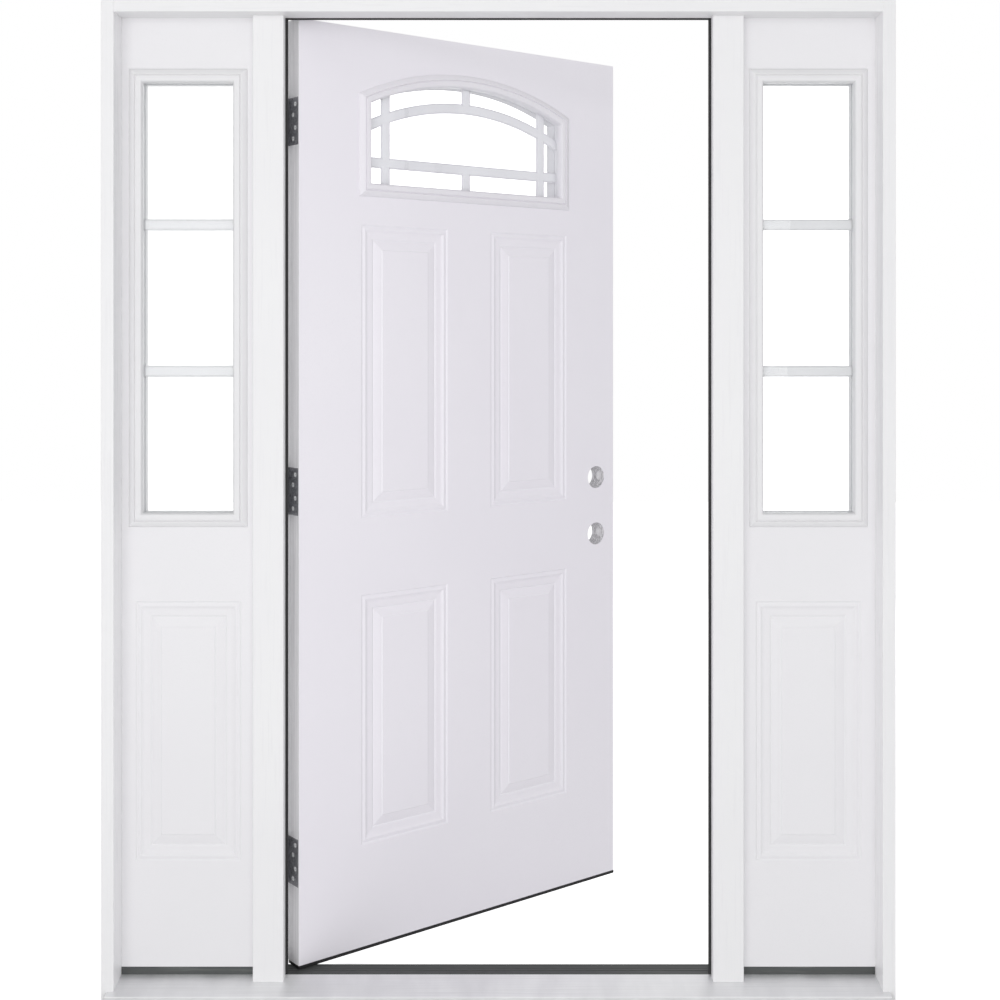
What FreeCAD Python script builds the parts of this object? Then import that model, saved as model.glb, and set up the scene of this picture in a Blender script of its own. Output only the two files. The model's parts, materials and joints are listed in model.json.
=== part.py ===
import FreeCAD, Part
import math
import os

# An entry door unit with two fixed sidelites: a steel-skinned leaf on three butt hinges in a rabbeted
# frame, an aluminium sill, and a lite with a grille in the leaf and in each sidelite.
# Millimetres. x runs to the right as seen from outside, y inwards from the outer face of the
# closed leaf, z up from the underside of the sill. The pieces of the leaf are laid out closed
# and turned about the hinge pins to OPEN_ANGLE at the end.

V = FreeCAD.Vector

# Leaf
LEAF_WIDTH = 908.0
LEAF_HEIGHT = 2013.0
LEAF_THICKNESS = 44.45
OPEN_ANGLE = 38.3
SKIN = 0.8
STILE_WIDTH = 28.0
TOP_RAIL_HEIGHT = 32.0
BOTTOM_RAIL_HEIGHT = 48.0
LATCH_BEVEL = 2.3
EDGE_GAP = 5.0

# Frame
FRAME_DEPTH = 116.0
JAMB_THICKNESS = 16.5
STOP_STEP = 10.0
MULL_CORE_WIDTH = 44.0
MULL_SETBACK = 35.0
CASING_THICKNESS = 11.0
FRAME_EASE = 1.0

# Seals round the doorway
SEAL_SPACE = 8.0
SEAL_GAP = 0.5
SEAL_REACH = 5.7
HEAD_SEAL_REACH = 3.0
SEAL_ROUND = 2.5
KERF_WIDTH = 3.0
KERF_DEPTH = 9.0
BARB_FIT = 0.2
PAD_HEIGHT = 30.0
PAD_DEPTH = 38.0
PAD_GAP = 0.6

# Sill
SILL_HEIGHT = 30.0
SILL_NOSE_HEIGHT = 18.5
SILL_PROJECTION = 18.5
SILL_HOUSING = 4.5
SILL_BASE_BACK_HEIGHT = 18.0
DECK_THICKNESS = 2.0
DECK_FOOT = 3.0
NOSE_ROUND = 3.0
RAIL_HEIGHT = 16.0
CAP_CHAMFER = 2.0
CAP_GROOVE = 1.2
CAP_GROOVE_WIDTH = 3.0
CAP_GROOVES = 3

# Sweep under the leaf
SWEEP_SPACE = 8.0
SWEEP_GAP = 0.3
SWEEP_PLATE = 2.0
SWEEP_FIN = 1.6
SWEEP_FINS = 5
SWEEP_INSET = 0.5

# Sidelites
SIDELITE_WIDTH = 298.0
SIDELITE_FIT = 1.75

# Raised panels. A bottom or a height is taken from the foot of the slab, a drop from its top.
PANEL_WIDTH = 235.5
SIDE_PANEL_WIDTH = 224.0
PANEL_PITCH = 359.0
LOWER_PANEL_BOTTOM = 222.5
LOWER_PANEL_HEIGHT = 549.0
UPPER_PANEL_BOTTOM = 937.5
UPPER_PANEL_DROP = 430.5

# The moulding round a panel: each point is how far in from the panel's edge, and how deep
PANEL_RIM_DEPTH = 0.6
PANEL_QUIRK = (4.5, 2.4)
PANEL_BEAD = (11.5, 0.9)
PANEL_STEP = (16.5, 3.4)
PANEL_COVE = (30.0, 4.6)
PANEL_VALLEY = (34.5, 6.4)
PANEL_BEVEL_FOOT = (38.0, 5.2)
PANEL_FIELD_EDGE = (55.0, 1.2)

# Camber-topped lite of the leaf, by its clear glass
LITE_WIDTH = 546.0
LITE_HEIGHT = 234.0
LITE_DROP = 105.0
LITE_RADIUS = 671.5

# Square lites of the sidelites, by their clear glass
SIDE_LITE_WIDTH = 190.0
SIDE_LITE_BOTTOM = 957.0
SIDE_LITE_DROP = 145.0

# Lite frames: a point is how far out from the clear glass, and how high over the face
LITE_BORDER = 30.0
LITE_EDGE_HEIGHT = 1.2
LITE_SHOULDER = (17.5, 9.0)
LITE_QUIRK = (15.5, 8.0)
LITE_CROWN_OUTER = (14.0, 9.5)
LITE_CROWN_INNER = (6.0, 9.5)
LITE_THROAT = (1.5, 5.0)
LITE_LIP_HEIGHT = 2.0
LITE_LEG = 7.0
CUTOUT_CLEARANCE = 1.0
CURVE_STEPS = 3

# Glass
GLASS_SETBACK = 9.5
GLASS_UNIT_THICKNESS = 12.7
PANE_THICKNESS = 3.2
GLASS_BITE = 6.0
SPACER_WIDTH = 5.0

# Grille bars between the panes
BAR_WIDTH = 19.0
BAR_THICKNESS = 5.0
BAR_BEVEL = 1.8
SIDE_BAR_OFFSET = 226.0
LOW_BAR_HEIGHT = 45.5
ARCH_BAR_DROP = 47.5
SIDE_LITE_BARS = 2

# Lock bores
LOCKSET_HEIGHT = 848.0
BORE_PITCH = 139.7
BACKSET = 60.3
BORE_RADIUS = 27.0
LATCH_BORE_RADIUS = 12.7
LOCK_BLOCK_WIDTH = 112.0
LOCK_BLOCK_MARGIN = 120.0

# Hinges
HINGE_FOOT = 216.0
HINGE_DROP = 217.0
HINGE_LENGTH = 101.6
HINGE_PLATE = 2.2
HINGE_PLATE_WIDTH = 41.0
BARREL_RADIUS = 5.5
BARREL_STANDOFF = 1.0
PIN_RADIUS = 3.2
PIN_FIT = 0.05
PIN_HEAD = 3.0
PIN_HEAD_RADIUS = 4.8
KNUCKLES = 3
KNUCKLE_GAP = 0.3
BARREL_CLEARANCE = 0.6

# Places worked out from the sizes
LEAF_X = LEAF_WIDTH / 2
RABBET_X = LEAF_X + EDGE_GAP
STOP_X = RABBET_X - STOP_STEP
MULL_OUTER_X = RABBET_X + MULL_CORE_WIDTH
MULL_STOP_X = MULL_OUTER_X + STOP_STEP
SIDELITE_IN_X = MULL_OUTER_X + SIDELITE_FIT
SIDELITE_OUT_X = SIDELITE_IN_X + SIDELITE_WIDTH
SIDELITE_MID_X = (SIDELITE_IN_X + SIDELITE_OUT_X) / 2
JAMB_RABBET_X = SIDELITE_OUT_X + SIDELITE_FIT
JAMB_STOP_X = JAMB_RABBET_X - STOP_STEP
UNIT_X = JAMB_RABBET_X + JAMB_THICKNESS
SILL_X = JAMB_RABBET_X + SILL_HOUSING

LEAF_Z = SILL_HEIGHT + SWEEP_SPACE
LEAF_TOP_Z = LEAF_Z + LEAF_HEIGHT
HEAD_RABBET_Z = LEAF_TOP_Z + EDGE_GAP
HEAD_STOP_Z = HEAD_RABBET_Z - STOP_STEP
UNIT_Z = HEAD_RABBET_Z + JAMB_THICKNESS
SIDELITE_Z = SILL_HEIGHT + RAIL_HEIGHT
SIDELITE_TOP_Z = HEAD_RABBET_Z - SIDELITE_FIT
HINGES = {"bottom": LEAF_Z + HINGE_FOOT,
          "middle": (LEAF_Z + HINGE_FOOT + LEAF_TOP_Z - HINGE_DROP) / 2,
          "top": LEAF_TOP_Z - HINGE_DROP}

FRAME_BACK_Y = LEAF_THICKNESS
FRAME_FRONT_Y = FRAME_BACK_Y - FRAME_DEPTH
STOP_BACK_Y = -SEAL_SPACE
MULL_FRONT_Y = FRAME_FRONT_Y + MULL_SETBACK
CASING_BACK_Y = MULL_FRONT_Y + CASING_THICKNESS
SIDELITE_BACK_Y = STOP_BACK_Y + LEAF_THICKNESS
NOSE_Y = FRAME_FRONT_Y - SILL_PROJECTION

PIN_X = -(LEAF_X + EDGE_GAP / 2)
PIN_Y = LEAF_THICKNESS + BARREL_STANDOFF + BARREL_RADIUS
INNER_GLASS_SETBACK = LEAF_THICKNESS - GLASS_SETBACK - GLASS_UNIT_THICKNESS


def box(x0, x1, y0, y1, z0, z1):
    return Part.makeBox(x1 - x0, y1 - y0, z1 - z0, V(x0, y0, z0))


def fused(shapes):
    whole = shapes[0]
    if len(shapes) > 1:
        whole = whole.multiFuse(shapes[1:])
    return whole.removeSplitter()


def upright(points, z0, z1):
    """A post whose section is given in x and y."""
    wire = Part.makePolygon([V(x, y, z0) for x, y in points] + [V(points[0][0], points[0][1], z0)])
    return Part.Face(wire).extrude(V(0, 0, z1 - z0))


def lengthwise(points, x0, x1):
    """A rail whose section is given in y and z."""
    wire = Part.makePolygon([V(x0, y, z) for y, z in points] + [V(x0, points[0][0], points[0][1])])
    return Part.Face(wire).extrude(V(x1 - x0, 0, 0))


def mirrored(shape):
    return shape.mirror(V(0, 0, 0), V(1, 0, 0))


class Outline:
    """An upright opening or panel edge, square or with a cambered top, drawn at any inset."""

    def __init__(self, mid_x, width, bottom, top, radius=None):
        self.mid_x = mid_x
        self.half_width = width / 2
        self.bottom = bottom
        self.top = top
        self.radius = radius

    def wire(self, inset, y):
        left = self.mid_x - self.half_width + inset
        right = self.mid_x + self.half_width - inset
        bottom = self.bottom + inset
        apex = V(self.mid_x, y, self.top - inset)
        shoulder = apex.z
        if self.radius:
            radius = self.radius - inset
            half_width = self.half_width - inset
            shoulder = apex.z - radius + math.sqrt(radius ** 2 - half_width ** 2)
        low_left = V(left, y, bottom)
        low_right = V(right, y, bottom)
        top_right = V(right, y, shoulder)
        top_left = V(left, y, shoulder)
        if self.radius:
            crown = Part.Arc(top_right, apex, top_left).toShape()
        else:
            crown = Part.makeLine(top_right, top_left)
        sides = [Part.makeLine(low_left, low_right), Part.makeLine(low_right, top_right)]
        return Part.Wire(sides + [crown, Part.makeLine(top_left, low_left)])

    def plug(self, inset, y0, y1):
        return Part.Face(self.wire(inset, y0)).extrude(V(0, y1 - y0, 0))

    def stack(self, steps):
        """A solid through the outline drawn at each (inset, y) in turn, with mitred corners."""
        return Part.makeLoft([self.wire(inset, y) for inset, y in steps], True, True)


def quarter_curve(start, end, steps, level_first):
    """Points of a quarter ellipse between two profile points, level at its start or at its end."""
    points = []
    for step in range(1, steps + 1):
        angle = math.pi / 2 * step / steps
        along = math.sin(angle) if level_first else 1 - math.cos(angle)
        down = 1 - math.cos(angle) if level_first else math.sin(angle)
        points.append((start[0] + (end[0] - start[0]) * along, start[1] + (end[1] - start[1]) * down))
    return points


def groove(panel, face_y, inwards, sunk=0.0):
    """The hollow round a raised panel: a quirk, a bead, a step and a cove, then a bevel up to the field.

    inwards is 1 on the outer face and -1 on the inner one. sunk sets every wall of the hollow that much
    into the slab, which leaves the skin between two such hollows.
    """
    above_face = -PANEL_VALLEY[1]
    outer = [(0.0, above_face), (0.0, PANEL_RIM_DEPTH), PANEL_QUIRK, PANEL_BEAD, PANEL_STEP, PANEL_COVE,
             PANEL_VALLEY]
    inner = [PANEL_VALLEY, PANEL_BEVEL_FOOT, PANEL_FIELD_EDGE, (PANEL_FIELD_EDGE[0], above_face)]
    hollow = panel.stack([(inset - sunk, face_y + inwards * (depth + sunk)) for inset, depth in outer])
    field = panel.stack([(inset + sunk, face_y + inwards * (depth + sunk)) for inset, depth in inner])
    return hollow.cut(field)


def sill_top(drop):
    """The sill's sloping top from nose to stop, as (y, z) points, lowered by drop."""
    slope = (SILL_HEIGHT - SILL_NOSE_HEIGHT) / (STOP_BACK_Y - NOSE_Y)
    nose_y = NOSE_Y + drop
    return [(nose_y, SILL_NOSE_HEIGHT - drop + slope * drop), (STOP_BACK_Y, SILL_HEIGHT - drop)]


def sill_seat():
    """The sill's outline behind the stop, where the cap and the rails lie, down to the floor."""
    return [(STOP_BACK_Y, SILL_BASE_BACK_HEIGHT), (FRAME_BACK_Y, SILL_BASE_BACK_HEIGHT), (FRAME_BACK_Y, 0.0)]


def room_for_sill():
    """All that the deck and the base fill, which posts and jambs are cut away from."""
    return lengthwise([(NOSE_Y, 0.0)] + sill_top(0.0) + sill_seat(), -SILL_X, SILL_X)


def sill_deck():
    """Bent aluminium sheet over the slope and down the rounded nose."""
    top = sill_top(0.0)
    under = sill_top(DECK_THICKNESS)
    outside = [(NOSE_Y, DECK_FOOT)] + top
    inside = [under[1], under[0], (NOSE_Y + DECK_THICKNESS, DECK_FOOT)]
    deck = lengthwise(outside + inside, -SILL_X, SILL_X)
    nose = long_edges(deck, lambda end: abs(end.Y - NOSE_Y) < 0.01 and abs(end.Z - SILL_NOSE_HEIGHT) < 0.01)
    return deck.makeFillet(NOSE_ROUND, nose)


def threshold_cap():
    """The dark strip that the sweep closes on, chamfered and grooved along its length."""
    seat_z = SILL_BASE_BACK_HEIGHT
    section = [(STOP_BACK_Y, seat_z), (FRAME_BACK_Y, seat_z), (FRAME_BACK_Y, SILL_HEIGHT - CAP_CHAMFER),
               (FRAME_BACK_Y - CAP_CHAMFER, SILL_HEIGHT), (STOP_BACK_Y, SILL_HEIGHT)]
    cap = lengthwise(section, -RABBET_X, RABBET_X)
    pitch = LEAF_THICKNESS / (CAP_GROOVES + 1)
    for count in range(CAP_GROOVES):
        mid_y = pitch * (count + 1)
        vee = [(mid_y - CAP_GROOVE_WIDTH / 2, SILL_HEIGHT), (mid_y, SILL_HEIGHT - CAP_GROOVE),
               (mid_y + CAP_GROOVE_WIDTH / 2, SILL_HEIGHT)]
        cap = cap.cut(lengthwise(vee, -RABBET_X, RABBET_X))
    return cap


def sidelite_rail():
    """The dark rail that carries a sidelite slab, with a low step behind it."""
    seat_z = SILL_BASE_BACK_HEIGHT
    return lengthwise([(STOP_BACK_Y, seat_z), (FRAME_BACK_Y, seat_z), (FRAME_BACK_Y, SILL_HEIGHT),
                       (SIDELITE_BACK_Y, SILL_HEIGHT), (SIDELITE_BACK_Y, SIDELITE_Z),
                       (STOP_BACK_Y, SIDELITE_Z)], MULL_OUTER_X, JAMB_RABBET_X)


def sill_base():
    under = sill_top(DECK_THICKNESS)
    return lengthwise([(under[0][0], 0.0)] + under + sill_seat(), -SILL_X, SILL_X)


def eased_post(points, z0, z1, front_y):
    """A post with its long front edges eased by a small chamfer."""
    post = upright(points, z0, z1)
    return post.makeChamfer(FRAME_EASE, long_edges(post, lambda end: abs(end.Y - front_y) < 0.01))


def frame_pieces():
    """The right jamb, the head, and the right mull post with its casing."""
    sill = room_for_sill()
    kerf = upright([(RABBET_X, STOP_BACK_Y), (RABBET_X, STOP_BACK_Y + KERF_WIDTH),
                    (RABBET_X + KERF_DEPTH, STOP_BACK_Y + KERF_WIDTH), (RABBET_X + KERF_DEPTH, STOP_BACK_Y)],
                   0.0, HEAD_RABBET_Z)
    head_kerf = box(-RABBET_X, RABBET_X, STOP_BACK_Y, STOP_BACK_Y + KERF_WIDTH,
                    HEAD_RABBET_Z, HEAD_RABBET_Z + KERF_DEPTH)
    jamb = eased_post([(UNIT_X, FRAME_FRONT_Y), (UNIT_X, FRAME_BACK_Y), (JAMB_RABBET_X, FRAME_BACK_Y),
                       (JAMB_RABBET_X, STOP_BACK_Y), (JAMB_STOP_X, STOP_BACK_Y),
                       (JAMB_STOP_X, FRAME_FRONT_Y)], 0.0, UNIT_Z, FRAME_FRONT_Y).cut(sill)
    head_full = lengthwise([(FRAME_FRONT_Y, UNIT_Z), (FRAME_BACK_Y, UNIT_Z), (FRAME_BACK_Y, HEAD_RABBET_Z),
                            (STOP_BACK_Y, HEAD_RABBET_Z), (STOP_BACK_Y, HEAD_STOP_Z),
                            (FRAME_FRONT_Y, HEAD_STOP_Z)], -JAMB_RABBET_X, JAMB_RABBET_X)
    post = upright([(STOP_X, CASING_BACK_Y), (STOP_X, STOP_BACK_Y), (RABBET_X, STOP_BACK_Y),
                    (RABBET_X, FRAME_BACK_Y), (MULL_OUTER_X, FRAME_BACK_Y), (MULL_OUTER_X, STOP_BACK_Y),
                    (MULL_STOP_X, STOP_BACK_Y), (MULL_STOP_X, CASING_BACK_Y)],
                   SILL_BASE_BACK_HEIGHT, HEAD_RABBET_Z).cut(fused([head_full, sill])).cut(kerf)
    casing = eased_post([(STOP_X, MULL_FRONT_Y), (STOP_X, CASING_BACK_Y), (MULL_STOP_X, CASING_BACK_Y),
                         (MULL_STOP_X, MULL_FRONT_Y)], SILL_NOSE_HEIGHT, HEAD_STOP_Z, MULL_FRONT_Y).cut(sill)
    jambs = fused([box(JAMB_STOP_X, UNIT_X, FRAME_FRONT_Y, STOP_BACK_Y, 0.0, UNIT_Z),
                   box(-UNIT_X, -JAMB_STOP_X, FRAME_FRONT_Y, STOP_BACK_Y, 0.0, UNIT_Z)])
    return jamb, head_full.cut(jambs).cut(head_kerf), post, casing


def long_edges(shape, lies_there):
    """The long edges of shape whose two ends both pass the test lies_there."""
    return [edge for edge in shape.Edges
            if edge.Length > LEAF_WIDTH / 2 and all(lies_there(vertex) for vertex in edge.Vertexes)]


def seal_pieces():
    """Foam seals in the corner between stop and rabbet, each with a barb in the kerf behind it."""
    edge_x = STOP_X - SEAL_REACH
    head_z = HEAD_STOP_Z - HEAD_SEAL_REACH
    barb_reach = KERF_DEPTH - BARB_FIT
    barb_back = STOP_BACK_Y + KERF_WIDTH - BARB_FIT
    side = box(edge_x, RABBET_X, STOP_BACK_Y, -SEAL_GAP, SILL_HEIGHT, head_z)
    side = side.makeFillet(SEAL_ROUND, long_edges(side, lambda end: abs(end.X - edge_x) < 0.01))
    side_barb = box(RABBET_X, RABBET_X + barb_reach, STOP_BACK_Y + BARB_FIT, barb_back, SILL_HEIGHT, head_z)
    head = box(-RABBET_X, RABBET_X, STOP_BACK_Y, -SEAL_GAP, head_z, HEAD_RABBET_Z)
    head = head.makeFillet(SEAL_ROUND, long_edges(head, lambda end: abs(end.Z - head_z) < 0.01))
    head_barb = box(-STOP_X, STOP_X, STOP_BACK_Y + BARB_FIT, barb_back,
                    HEAD_RABBET_Z, HEAD_RABBET_Z + barb_reach)
    return fused([side, side_barb]), fused([head, head_barb])


def corner_pad():
    """A foam pad on the rabbet at the foot of the doorway, tapered towards its top."""
    face_x = LEAF_X + PAD_GAP
    y0 = -SEAL_GAP
    y1 = y0 + PAD_DEPTH
    top_z = SILL_HEIGHT + PAD_HEIGHT
    points = [V(face_x, y0, SILL_HEIGHT), V(RABBET_X, y0, SILL_HEIGHT), V(RABBET_X, y0, top_z),
              V(face_x, y0, top_z - (RABBET_X - face_x))]
    return Part.Face(Part.makePolygon(points + points[:1])).extrude(V(0, y1 - y0, 0))


def lite_frame(lite, face_y, inwards, setback):
    """The moulded ring that clamps the glass: a crowned border on the face and a leg back to the pane."""
    ring = [(LITE_BORDER, 0.0), (LITE_BORDER, LITE_EDGE_HEIGHT), LITE_SHOULDER, LITE_QUIRK, LITE_CROWN_OUTER]
    throat = [(LITE_CROWN_INNER[0], LITE_CROWN_INNER[1] + 1.0), LITE_CROWN_INNER]
    throat += quarter_curve(LITE_CROWN_INNER, LITE_THROAT, CURVE_STEPS, True)
    throat += [(0.0, LITE_LIP_HEIGHT), (0.0, -setback)]
    border = lite.stack([(-out, face_y - inwards * height) for out, height in ring])
    leg = lite.plug(-LITE_LEG, face_y, face_y + inwards * setback)
    opening = lite.stack([(-out, face_y - inwards * height) for out, height in throat])
    return fused([border, leg]).cut(opening)


def bar_section(mid_y, mid_z):
    """The section of a flat grille bar with bevelled long edges, as (y, z) points."""
    half = BAR_WIDTH / 2
    thick = BAR_THICKNESS / 2
    points = [(-thick, -half + BAR_BEVEL), (-thick, half - BAR_BEVEL), (-thick + BAR_BEVEL, half),
              (thick - BAR_BEVEL, half), (thick, half - BAR_BEVEL), (thick, -half + BAR_BEVEL),
              (thick - BAR_BEVEL, -half), (-thick + BAR_BEVEL, -half)]
    return [(mid_y + across, mid_z + along) for across, along in points]


def level_bar(x0, x1, y, z):
    return lengthwise(bar_section(y, z), x0, x1)


def upright_bar(x, y, z0, z1):
    bar = lengthwise(bar_section(0.0, 0.0), 0.0, z1 - z0)
    bar.rotate(V(0, 0, 0), V(0, 1, 0), -90)
    bar.translate(V(x, y, z0))
    return bar


def arched_bar(mid_x, y, radius, centre_z, half_span):
    """A bar bent to an arc about a level axis through centre_z."""
    reach = math.degrees(math.asin(half_span / radius))
    corners = [V(mid_x, bar_y, bar_z) for bar_y, bar_z in bar_section(y, centre_z + radius)]
    face = Part.Face(Part.makePolygon(corners + corners[:1]))
    face.rotate(V(mid_x, y, centre_z), V(0, 1, 0), -reach)
    return face.revolve(V(mid_x, y, centre_z), V(0, 1, 0), 2 * reach)


def glass_unit(lite, face_y):
    """Two panes and the spacer between them, from the unit's outer face."""
    back_y = face_y + GLASS_UNIT_THICKNESS
    panes = Part.makeCompound([lite.plug(-GLASS_BITE, face_y, face_y + PANE_THICKNESS),
                               lite.plug(-GLASS_BITE, back_y - PANE_THICKNESS, back_y)])
    spacer = lite.plug(-GLASS_BITE, face_y + PANE_THICKNESS, back_y - PANE_THICKNESS)
    spacer = spacer.cut(lite.plug(-GLASS_BITE + SPACER_WIDTH, face_y, back_y))
    return panes, spacer


def camber_grille(lite, spacer, mid_y):
    """Two uprights, a low bar, a bar parallel to the camber and two short bars on the centre line."""
    arc_centre_z = lite.top - lite.radius
    low_z = lite.bottom + LOW_BAR_HEIGHT
    arch_radius = lite.radius - ARCH_BAR_DROP
    reach = lite.half_width + GLASS_BITE
    top_z = lite.top + GLASS_BITE
    foot_z = lite.bottom - GLASS_BITE
    bars = [level_bar(lite.mid_x - reach, lite.mid_x + reach, mid_y, low_z),
            arched_bar(lite.mid_x, mid_y, arch_radius, arc_centre_z, reach),
            upright_bar(lite.mid_x - SIDE_BAR_OFFSET, mid_y, foot_z, top_z),
            upright_bar(lite.mid_x + SIDE_BAR_OFFSET, mid_y, foot_z, top_z),
            upright_bar(lite.mid_x, mid_y, foot_z, low_z),
            upright_bar(lite.mid_x, mid_y, arc_centre_z + arch_radius, top_z)]
    room = lite.plug(-GLASS_BITE + SPACER_WIDTH, mid_y - BAR_THICKNESS, mid_y + BAR_THICKNESS)
    return fused([spacer] + [bar.common(room) for bar in bars])


def ladder_grille(lite, spacer, mid_y):
    """Level bars that part a square lite into equal lights."""
    reach = lite.half_width + GLASS_BITE - SPACER_WIDTH
    light = (lite.top - lite.bottom - SIDE_LITE_BARS * BAR_WIDTH) / (SIDE_LITE_BARS + 1)
    bars = []
    for count in range(SIDE_LITE_BARS):
        z = lite.bottom + (light + BAR_WIDTH) * (count + 1) - BAR_WIDTH / 2
        bars.append(level_bar(lite.mid_x - reach, lite.mid_x + reach, mid_y, z))
    return fused([spacer] + bars)


def sidelite_pieces():
    """The right sidelite: a slab with a raised panel under a square lite."""
    front_y = STOP_BACK_Y
    lite = Outline(SIDELITE_MID_X, SIDE_LITE_WIDTH,
                   SIDELITE_Z + SIDE_LITE_BOTTOM, SIDELITE_TOP_Z - SIDE_LITE_DROP)
    panel_z = SIDELITE_Z + LOWER_PANEL_BOTTOM
    panel = Outline(SIDELITE_MID_X, SIDE_PANEL_WIDTH, panel_z, panel_z + LOWER_PANEL_HEIGHT)
    slab = box(SIDELITE_IN_X, SIDELITE_OUT_X, front_y, SIDELITE_BACK_Y, SIDELITE_Z, SIDELITE_TOP_Z)
    slab = slab.cut(lite.plug(-LITE_LEG - CUTOUT_CLEARANCE, front_y, SIDELITE_BACK_Y))
    slab = slab.cut(groove(panel, front_y, 1)).cut(groove(panel, SIDELITE_BACK_Y, -1))
    glass_y = front_y + GLASS_SETBACK
    panes, spacer = glass_unit(lite, glass_y)
    return {
        "panel": slab,
        "outer_lite_frame": lite_frame(lite, front_y, 1, GLASS_SETBACK),
        "inner_lite_frame": lite_frame(lite, SIDELITE_BACK_Y, -1, INNER_GLASS_SETBACK),
        "glass": panes,
        "grille": ladder_grille(lite, spacer, glass_y + GLASS_UNIT_THICKNESS / 2),
    }


def leaf_lite():
    top_z = LEAF_TOP_Z - LITE_DROP
    return Outline(0.0, LITE_WIDTH, top_z - LITE_HEIGHT, top_z, LITE_RADIUS)


def leaf_panels():
    low_z = LEAF_Z + LOWER_PANEL_BOTTOM
    panels = []
    for mid_x in (-PANEL_PITCH / 2, PANEL_PITCH / 2):
        panels.append(Outline(mid_x, PANEL_WIDTH, low_z, low_z + LOWER_PANEL_HEIGHT))
        panels.append(Outline(mid_x, PANEL_WIDTH, LEAF_Z + UPPER_PANEL_BOTTOM, LEAF_TOP_Z - UPPER_PANEL_DROP))
    return panels


def leaf_slab(thin):
    """The leaf as one block with its panel hollows, thinned on both faces by thin, bevelled at the latch."""
    slab = box(-LEAF_X, LEAF_X, thin, LEAF_THICKNESS - thin, LEAF_Z, LEAF_TOP_Z)
    hollows = []
    for panel in leaf_panels():
        hollows.append(groove(panel, 0.0, 1, thin))
        hollows.append(groove(panel, LEAF_THICKNESS, -1, thin))
    bevel = upright([(LEAF_X - LATCH_BEVEL, 0.0), (LEAF_X, LEAF_THICKNESS), (LEAF_X + 1.0, LEAF_THICKNESS),
                     (LEAF_X + 1.0, 0.0)], LEAF_Z, LEAF_TOP_Z)
    cutout = leaf_lite().plug(-LITE_LEG - CUTOUT_CLEARANCE, 0.0, LEAF_THICKNESS)
    return slab.cut(Part.makeCompound(hollows)).cut(fused([bevel, cutout]))


def lock_bores():
    """The two lock bores through the leaf and a latch bore to each from the edge."""
    tools = []
    mid_x = LEAF_X - BACKSET
    mid_y = LEAF_THICKNESS / 2
    for z in (LEAF_Z + LOCKSET_HEIGHT, LEAF_Z + LOCKSET_HEIGHT + BORE_PITCH):
        tools.append(Part.makeCylinder(BORE_RADIUS, LEAF_THICKNESS, V(mid_x, 0, z), V(0, 1, 0)))
        tools.append(Part.makeCylinder(LATCH_BORE_RADIUS, BACKSET, V(mid_x, mid_y, z), V(1, 0, 0)))
    return fused(tools)


def hinge_mortises(face_x, thickness):
    """Rebates for the hinge plates, let into the face at face_x by thickness."""
    tools = []
    for z in HINGES.values():
        tools.append(box(min(face_x, face_x + thickness), max(face_x, face_x + thickness),
                         LEAF_THICKNESS - HINGE_PLATE_WIDTH, LEAF_THICKNESS,
                         z - HINGE_LENGTH / 2, z + HINGE_LENGTH / 2))
    return Part.makeCompound(tools)


def leaf_pieces():
    outer = leaf_slab(0.0)
    filling = leaf_slab(SKIN)
    bores = lock_bores()
    mortises = hinge_mortises(-LEAF_X, HINGE_PLATE)
    skins = outer.cut(filling).cut(bores).cut(mortises)
    outer_skin = skins.common(box(-LEAF_X, LEAF_X, 0.0, LEAF_THICKNESS / 2, LEAF_Z, LEAF_TOP_Z))
    inner_skin = skins.common(box(-LEAF_X, LEAF_X, LEAF_THICKNESS / 2, LEAF_THICKNESS, LEAF_Z, LEAF_TOP_Z))

    def part_of_filling(x0, x1, z0, z1):
        return filling.common(box(x0, x1, 0.0, LEAF_THICKNESS, z0, z1))

    inner_x = LEAF_X - STILE_WIDTH
    block_x = inner_x - LOCK_BLOCK_WIDTH
    block_z = LEAF_Z + LOCKSET_HEIGHT - LOCK_BLOCK_MARGIN
    block_top_z = LEAF_Z + LOCKSET_HEIGHT + BORE_PITCH + LOCK_BLOCK_MARGIN
    rail_z = LEAF_Z + BOTTOM_RAIL_HEIGHT
    top_rail_z = LEAF_TOP_Z - TOP_RAIL_HEIGHT
    block = part_of_filling(block_x, inner_x, block_z, block_top_z).cut(bores)
    core = part_of_filling(-inner_x, inner_x, rail_z, top_rail_z)
    core = core.cut(box(block_x, inner_x, 0.0, LEAF_THICKNESS, block_z, block_top_z))
    lite = leaf_lite()
    panes, spacer = glass_unit(lite, GLASS_SETBACK)
    return {
        "leaf_outer_skin": outer_skin,
        "leaf_inner_skin": inner_skin,
        "leaf_hinge_stile": part_of_filling(-LEAF_X, -inner_x, LEAF_Z, LEAF_TOP_Z).cut(mortises),
        "leaf_latch_stile": part_of_filling(inner_x, LEAF_X, LEAF_Z, LEAF_TOP_Z).cut(bores),
        "leaf_lock_block": block,
        "leaf_top_rail": part_of_filling(-inner_x, inner_x, top_rail_z, LEAF_TOP_Z),
        "leaf_bottom_rail": part_of_filling(-inner_x, inner_x, LEAF_Z, rail_z),
        "leaf_core": core,
        "leaf_outer_lite_frame": lite_frame(lite, 0.0, 1, GLASS_SETBACK),
        "leaf_inner_lite_frame": lite_frame(lite, LEAF_THICKNESS, -1, INNER_GLASS_SETBACK),
        "leaf_glass": panes,
        "leaf_grille": camber_grille(lite, spacer, GLASS_SETBACK + GLASS_UNIT_THICKNESS / 2),
        "leaf_sweep": sweep(),
    }


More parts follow.
